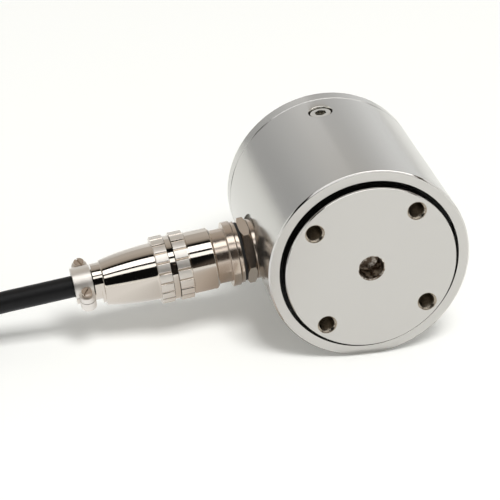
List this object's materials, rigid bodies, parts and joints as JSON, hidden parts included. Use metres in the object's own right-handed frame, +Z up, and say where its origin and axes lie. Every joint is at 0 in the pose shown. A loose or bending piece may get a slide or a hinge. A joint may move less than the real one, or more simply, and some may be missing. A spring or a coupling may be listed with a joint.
{
  "type": "column load cell",
  "caption": "Cylindrical column load cell with a tubular steel sleeve, a raised threaded loading disc and a radial circular cable plug.",
  "frame": {"origin": "on the floor under the middle of the load cell with its mated plug, the cable left out", "axes": "-Y out of the loading face along the load axis, -X along the cable plug, +Z up"},
  "size_m": [0.2486, 0.0749, 0.056],
  "materials": {
    "steel": "fine turned and ground stainless steel, satin",
    "screw_steel": "dark stainless set screw",
    "nickel": "polished nickel plate",
    "rubber": "black moulded rubber",
    "insulator": "black moulded insulator",
    "tie_band": "black woven tie",
    "gilded": "gold-flashed contact",
    "gauge_foil": "amber polyimide foil",
    "laminate": "green circuit board laminate",
    "cable_jacket": "black matt cable jacket",
    "red_core": "red core insulation",
    "black_core": "black core insulation",
    "green_core": "green core insulation",
    "white_core": "white core insulation"
  },
  "bodies": {
    "root": {"spring_element": "steel", "housing_sleeve": "steel", "side_screw": "screw_steel", "receptacle_shell": "nickel", "lock_nut": "nickel", "lock_washer": "nickel", "flange_washer": "nickel", "coupling_nut": "nickel", "plug_shell": "nickel", "retaining_ring": "nickel", "back_shell": "nickel", "clamp_saddle": "nickel", "clamp_screw_1": "nickel", "clamp_screw_2": "nickel", "mouth_seal": "rubber", "flange_gasket": "rubber", "receptacle_insulator": "insulator", "plug_insulator": "insulator", "hank_tie_1": "tie_band", "hank_tie_2": "tie_band", "contact_pin_1": "gilded", "contact_pin_2": "gilded", "contact_pin_3": "gilded", "contact_pin_4": "gilded", "socket_contact_1": "gilded", "socket_contact_2": "gilded", "socket_contact_3": "gilded", "socket_contact_4": "gilded", "strain_gauge_1": "gauge_foil", "strain_gauge_2": "gauge_foil", "strain_gauge_3": "gauge_foil", "strain_gauge_4": "gauge_foil", "bridge_board": "laminate", "cable_tube": "cable_jacket", "cable_hank": "cable_jacket", "cable_end": "cable_jacket", "plug_core_1": "red_core", "inner_lead_1": "red_core", "end_lead_1": "red_core", "plug_core_2": "black_core", "inner_lead_2": "black_core", "end_lead_2": "black_core", "plug_core_3": "green_core", "inner_lead_3": "green_core", "end_lead_3": "green_core", "plug_core_4": "white_core", "inner_lead_4": "white_core", "end_lead_4": "white_core"}
  },
  "joints": []
}
